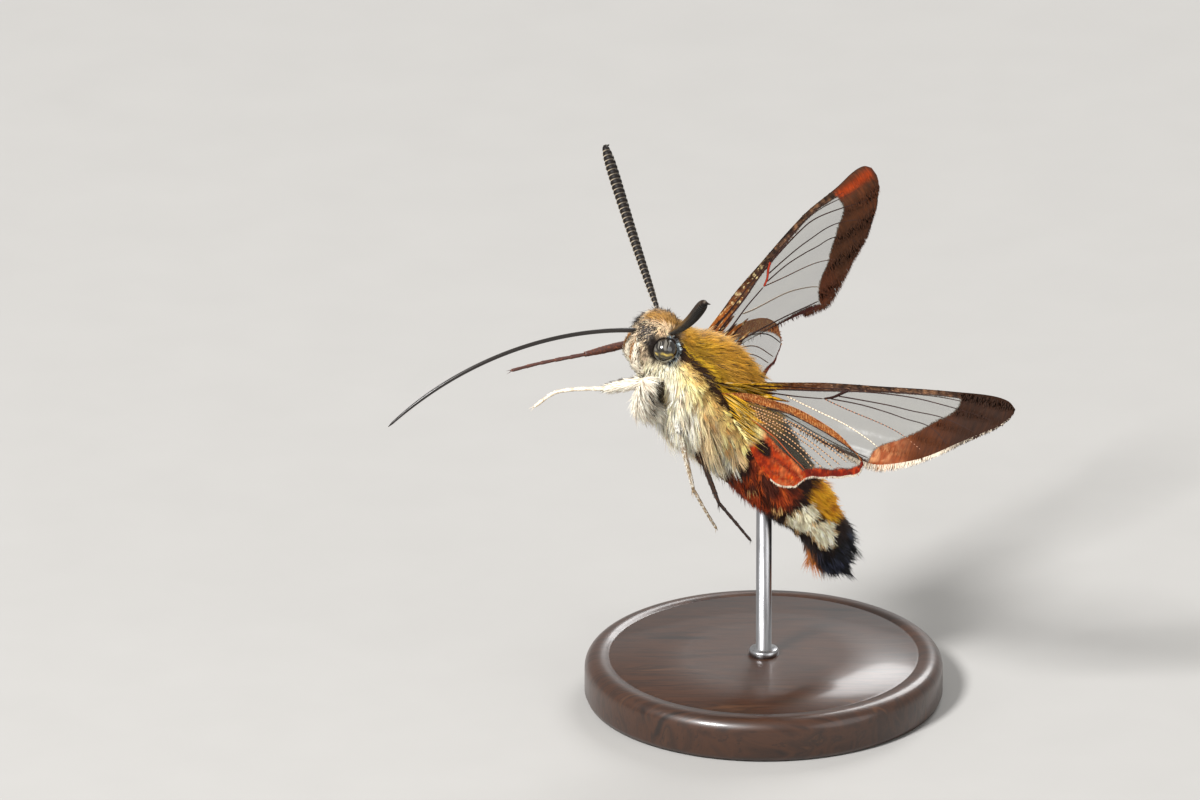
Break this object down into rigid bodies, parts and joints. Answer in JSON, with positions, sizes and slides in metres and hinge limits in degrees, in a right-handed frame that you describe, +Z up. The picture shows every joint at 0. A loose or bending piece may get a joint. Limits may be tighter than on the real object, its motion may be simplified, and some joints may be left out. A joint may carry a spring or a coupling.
{
  "type": "bee hawk moth model on a stand",
  "caption": "Life-size still model of a hovering bee hawk moth, clear-winged and furry, tongue out, on a plain round stand with a short rod.",
  "frame": {"origin": "centre of the stand's flat underside", "axes": "+Z up; the moth faces -X, turned 25 degrees towards -Y, with its nose 50 degrees up"},
  "size_m": [0.0397, 0.031, 0.0362],
  "materials": {
    "base_wood": "satin oiled",
    "rod_steel": "satin",
    "coat_golden": "matt, furry",
    "coat_pale": "matt, furry",
    "coat_dark": "matt, furry",
    "coat_red": "matt, furry",
    "coat_black": "matt, furry",
    "eye": "glossy",
    "horn_black": "satin, horny",
    "wing": "clear membrane with scaled veins and border",
    "leg_pale": "matt, scaled",
    "leg_brown": "matt, scaled"
  },
  "bodies": {
    "root": {"stand_base": "base_wood", "stand_rod": "rod_steel", "head": "coat_golden", "thorax": "coat_golden", "abdomen_front": "coat_red", "abdomen_middle": "coat_dark", "abdomen_rear": "coat_pale", "tail_brush": "coat_black", "eye_left": "eye", "antenna_left": "horn_black", "palp_left": "coat_pale", "forewing_left": "wing", "hindwing_left": "wing", "eye_right": "eye", "antenna_right": "horn_black", "palp_right": "coat_pale", "forewing_right": "wing", "hindwing_right": "wing", "proboscis": "horn_black", "leg_front_left_femur": "leg_pale", "leg_front_left_tibia": "leg_pale", "leg_front_left_tarsus": "leg_pale", "leg_front_right_femur": "leg_brown", "leg_front_right_tibia": "leg_brown", "leg_front_right_tarsus": "leg_brown", "leg_middle_left_femur": "leg_pale", "leg_middle_left_tibia": "leg_pale", "leg_middle_left_tarsus": "leg_pale", "leg_middle_right_femur": "leg_brown", "leg_middle_right_tibia": "leg_brown", "leg_middle_right_tarsus": "leg_brown", "leg_hind_left_femur": "leg_brown", "leg_hind_left_tibia": "leg_brown", "leg_hind_left_tarsus": "leg_brown", "leg_hind_right_femur": "leg_brown", "leg_hind_right_tibia": "leg_brown", "leg_hind_right_tarsus": "leg_brown"}
  },
  "joints": []
}
